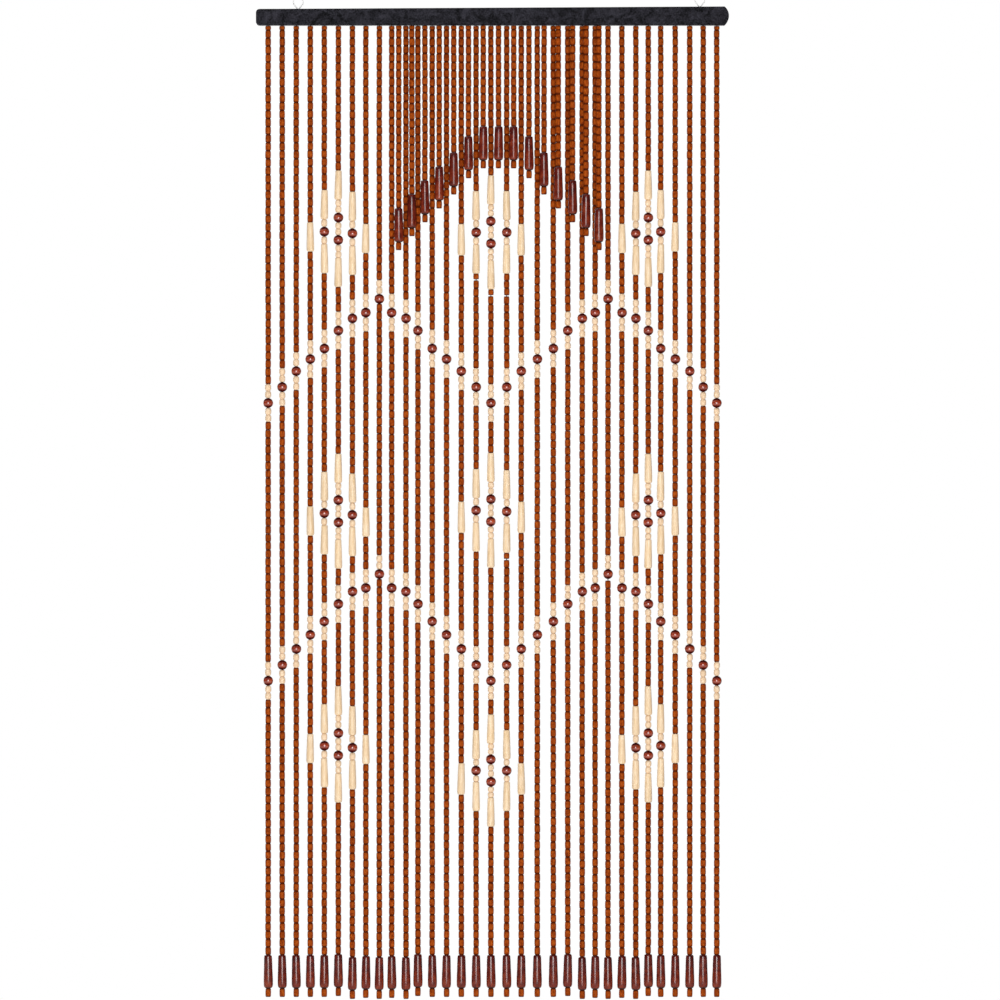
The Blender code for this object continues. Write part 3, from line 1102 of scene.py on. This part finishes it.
class CURTAIN_OT_stage(Operator):
    """Sets up the camera, the floor and the studio light"""

    bl_idname = "curtain.stage"
    bl_label = "Camera, Floor and Light"

    def execute(self, context):
        scene = context.scene
        stage = scene.curtain_stage
        centre = Vector(stage.frame_centre)

        lens = bpy.data.cameras.new("Camera")
        lens.lens = lens.sensor_width * stage.camera_distance / stage.frame_width
        lens.clip_end = 4 * stage.camera_distance
        camera = bpy.data.objects.new("Camera", lens)
        camera.location = centre - Vector((0.0, stage.camera_distance, 0.0))
        camera.rotation_euler = (math.radians(90), 0.0, 0.0)
        scene.collection.objects.link(camera)
        scene.camera = camera

        floor_z = min(LONG_LOW.z, SHORT_LOW.z) - stage.floor_below
        bm = bmesh.new()
        (left, front), (right, back) = FLOOR_LOW, FLOOR_HIGH
        corners = ((left, front), (right, front), (right, back), (left, back))
        bm.faces.new([bm.verts.new((x, y, floor_z)) for x, y in corners])
        mesh = bpy.data.meshes.new("Floor")
        bm.to_mesh(mesh)
        bm.free()
        finish = plain_finish(
            "Pale floor", stage.floor_colour, roughness=0.8, scale=6.0, depth=0.0002, darkest=0.98
        )
        tree = finish.node_tree
        glow = {
            "Emission Color": (1.0, 1.0, 1.0, 1.0),
            "Emission Strength": stage.floor_glow,
        }
        set_inputs(tree, tree.nodes["Principled BSDF"], glow)
        add_object("Floor", mesh, finish)

        self.add_world(scene, stage)
        for lamp in LAMPS:
            self.add_light(scene, lamp, centre, getattr(stage, lamp.power))
        scene.view_settings.view_transform = "Standard"
        return {"FINISHED"}

    def add_world(self, scene, stage):
        """White behind the object, softer on it, and dim in its gloss."""
        world = bpy.data.worlds.new("Studio")
        world.use_nodes = True
        world.cycles.sampling_method = "NONE"
        scene.world = world
        tree = world.node_tree
        tree.nodes.remove(tree.nodes["Background"])
        kind = add_node(tree, "ShaderNodeLightPath").outputs
        ambient, mirrored, white = [
            add_node(tree, "ShaderNodeBackground", {0: (1.0, 1.0, 1.0, 1.0), 1: strength})
            for strength in (stage.ambient, stage.mirrored, 1.0)
        ]
        lit = add_node(
            tree, "ShaderNodeMixShader", {0: kind["Is Glossy Ray"], 1: ambient, 2: mirrored}
        )
        behind = add_node(
            tree, "ShaderNodeMixShader", {0: kind["Is Camera Ray"], 1: lit, 2: white}
        )
        set_inputs(tree, tree.nodes["World Output"], {"Surface": behind})

    def add_light(self, scene, lamp, target, power):
        panel = bpy.data.lights.new(lamp.name, "AREA")
        panel.shape = "RECTANGLE"
        panel.size, panel.size_y = lamp.size
        panel.energy = power
        light = bpy.data.objects.new(lamp.name, panel)
        light.location = target + Vector(lamp.place)
        light.rotation_euler = (-Vector(lamp.place)).to_track_quat("-Z", "Y").to_euler()
        light.visible_camera = False
        scene.collection.objects.link(light)


class CURTAIN_OT_bar(Operator):
    """Builds the painted bar and the strips that hold the strings in its underside"""

    bl_idname = "curtain.bar"
    bl_label = "Bar and Strips"

    def execute(self, context):
        paint = shared("Clouded black paint", context.scene.curtain_colours)
        bm = bmesh.new()
        outline = bar_outline()
        loft(bm, [[(x, y, z) for x, z in outline] for y in (BAR_HIGH.y, BAR_LOW.y)])
        rims = [edge for edge in bm.edges if edge.verts[0].co.y == edge.verts[1].co.y]
        bmesh.ops.bevel(
            bm, geom=rims, offset=BAR_EDGE, segments=BAR_EDGE_SEGMENTS, profile=0.5, affect="EDGES"
        )
        bar = add_object("bar", closed_mesh("bar", bm), paint)

        cuts = bmesh.new()
        for _, places, y, _ in rows():
            add_box(cuts, *strip_box(places, y, GAP))
        for x in EYE_X.values():
            add_eye_hole(cuts, x)
        cutter = add_object("bar_cuts", closed_mesh("bar_cuts", cuts))
        step = bar.modifiers.new("Grooves and holes", "BOOLEAN")
        step.operation = "DIFFERENCE"
        step.solver = "EXACT"
        step.object = cutter
        make_plain(bar)
        bpy.data.objects.remove(cutter, do_unlink=True)
        smooth_round_parts(bar)
        dress(bar, "bar_paint", "header_bar")

        for name, places, y, node in rows():
            bm = bmesh.new()
            add_box(bm, *strip_box(places, y, 0.0))
            bmesh.ops.bevel(bm, geom=bm.edges[:], offset=STRIP_EDGE, segments=2, affect="EDGES")
            strip = add_object("strip_" + name, closed_mesh("strip_" + name, bm), paint)
            smooth_round_parts(strip)
            dress(strip, "bar_paint", node)
        return {"FINISHED"}


class CURTAIN_OT_wire_eyes(Operator):
    """Bends the two wire eyes that the bar hangs on"""

    bl_idname = "curtain.wire_eyes"
    bl_label = "Wire Eyes"

    def execute(self, context):
        scene = context.scene
        wire = plain_finish(
            "White coated wire",
            scene.curtain_colours.wire,
            roughness=0.32,
            scale=900.0,
            depth=0.0001,
            darkest=0.92,
        )
        tree = wire_tree()
        for node, x in EYE_X.items():
            path = eye_path(x)
            name = node.replace("hanger", "wire_eye")
            mesh = bpy.data.meshes.new(name)
            mesh.from_pydata(path, [(i, i + 1) for i in range(len(path) - 1)], [])
            eye = add_object(name, mesh)
            run_tree(eye, tree, {"Radius": scene.curtain_sizes.wire_radius, "Material": wire})
            dress(eye, "eye_wire", node)
        return {"FINISHED"}


class CURTAIN_OT_cords(Operator):
    """Hangs the cords that the beads are threaded on"""

    bl_idname = "curtain.cords"
    bl_label = "Cords"

    def execute(self, context):
        sizes = context.scene.curtain_sizes
        cord = plain_finish(
            "Waxed cord",
            context.scene.curtain_colours.cord,
            roughness=0.6,
            scale=1500.0,
            depth=0.0002,
            darkest=0.85,
        )
        tree = bead_tree("Cord", CORD_OUTLINE, CORD_MESH)
        for name, strings, node in (
            ("cords_long", long_strings(sizes), "long_strings"),
            ("cords_short", short_strings(sizes), "short_strings"),
        ):
            cords = [
                Bead("cord", s[0].x, s[0].y, -STRIP_EDGE, (s[-1].top + s[-1].bottom) / 2)
                for s in strings
            ]
            obj = bead_places(name, cords, 0.0)
            run_tree(obj, tree, {"Radius": sizes.cord_radius, "Material": cord})
            dress(obj, "string", node)
        return {"FINISHED"}


class CURTAIN_OT_barrels(Operator):
    """Threads the brown barrel beads, three strings to a piece"""

    bl_idname = "curtain.barrels"
    bl_label = "Brown Barrels"

    def execute(self, context):
        sizes = context.scene.curtain_sizes
        wood = shared("Brown stained wood", context.scene.curtain_colours)
        tree = bead_tree("Barrel bead", BARREL_OUTLINE, BARREL_MESH)
        radius = sizes.barrel_radius
        strings = long_strings(sizes)
        for start in range(0, LONG_COUNT, STRINGS_PER_PIECE):
            group = strings[start : start + STRINGS_PER_PIECE]
            name = f"barrels_long_{start + 1:02d}_{start + len(group):02d}"
            beads = of_kind(group, "barrel")
            thread_beads(name, beads, tree, radius, sizes, wood, "brown_beads", "long_strings")
        beads = of_kind(short_strings(sizes), "barrel")
        thread_beads(
            "barrels_short", beads, tree, radius, sizes, wood, "brown_beads", "short_strings"
        )
        return {"FINISHED"}


class CURTAIN_OT_pale_beads(Operator):
    """Threads the small pale beads and the pale tubes"""

    bl_idname = "curtain.pale_beads"
    bl_label = "Pale Beads and Tubes"

    def execute(self, context):
        sizes = context.scene.curtain_sizes
        strings = long_strings(sizes)
        small = bead_tree("Small pale bead", PALE_OUTLINE, PALE_MESH)
        long = bead_tree("Pale tube", TUBE_OUTLINE, TUBE_MESH)
        for name, kind, tree, radius, finish in (
            ("small_pale_beads", "pale", small, sizes.pale_radius, "Pale wood of small beads"),
            ("pale_tubes", "tube", long, sizes.tube_radius, "Pale wood"),
        ):
            beads = of_kind(strings, kind)
            wood = shared(finish, context.scene.curtain_colours)
            thread_beads(name, beads, tree, radius, sizes, wood, "pale_beads", "long_strings")
        return {"FINISHED"}


class CURTAIN_OT_red_beads(Operator):
    """Threads the round beads and the drops at the strings' ends"""

    bl_idname = "curtain.red_beads"
    bl_label = "Round Beads and Drops"

    def execute(self, context):
        sizes = context.scene.curtain_sizes
        red = shared("Red-brown lacquer", context.scene.curtain_colours)
        maroon = shared("Maroon lacquer", context.scene.curtain_colours)
        steps = [i / ROUND_OUTLINE_STEPS for i in range(ROUND_OUTLINE_STEPS + 1)]
        outline = [(t, max(2 * math.sqrt(t * (1 - t)), ROUND_POLE)) for t in steps]
        ball = bead_tree("Round bead", outline, ROUND_MESH)
        drop = bead_tree("Drop", DROP_OUTLINE, DROP_MESH)
        strings = long_strings(sizes)
        short = short_strings(sizes)
        for name, kind, hung, tree, radius, wood, node in (
            ("round_beads", "round", strings, ball, sizes.round_radius, red, "long_strings"),
            ("drops_long", "drop", strings, drop, sizes.drop_radius, maroon, "long_strings"),
            ("drops_short", "drop", short, drop, sizes.drop_radius, maroon, "short_strings"),
        ):
            beads = of_kind(hung, kind)
            thread_beads(name, beads, tree, radius, sizes, wood, "red_beads", node)
        return {"FINISHED"}


BUILD_ORDER = (
    CURTAIN_OT_stage,
    CURTAIN_OT_bar,
    CURTAIN_OT_wire_eyes,
    CURTAIN_OT_cords,
    CURTAIN_OT_barrels,
    CURTAIN_OT_pale_beads,
    CURTAIN_OT_red_beads,
)


class CURTAIN_PT_panel(Panel):
    """Lists the curtain's settings and the steps that build it"""

    bl_idname = "CURTAIN_PT_panel"
    bl_label = "Bead Curtain"
    bl_space_type = "VIEW_3D"
    bl_region_type = "UI"
    bl_category = "Curtain"

    def draw(self, context):
        scene = context.scene
        for settings in (scene.curtain_sizes, scene.curtain_colours, scene.curtain_stage):
            box = self.layout.box()
            for name in settings.__annotations__:
                box.prop(settings, name)
        for step in BUILD_ORDER:
            self.layout.operator(step.bl_idname)


SETTINGS = {
    "curtain_sizes": CurtainSizes,
    "curtain_colours": CurtainColours,
    "curtain_stage": CurtainStage,
}
CLASSES = (*SETTINGS.values(), *BUILD_ORDER, CURTAIN_PT_panel)


def register():
    for item in CLASSES:
        bpy.utils.register_class(item)
    for name, group in SETTINGS.items():
        setattr(bpy.types.Scene, name, PointerProperty(type=group))


def unregister():
    for name in SETTINGS:
        delattr(bpy.types.Scene, name)
    for item in reversed(CLASSES):
        bpy.utils.unregister_class(item)


def main():
    register()
    for step in BUILD_ORDER:
        family, name = step.bl_idname.split(".")
        getattr(getattr(bpy.ops, family), name)()


if __name__ == "__main__":
    main()
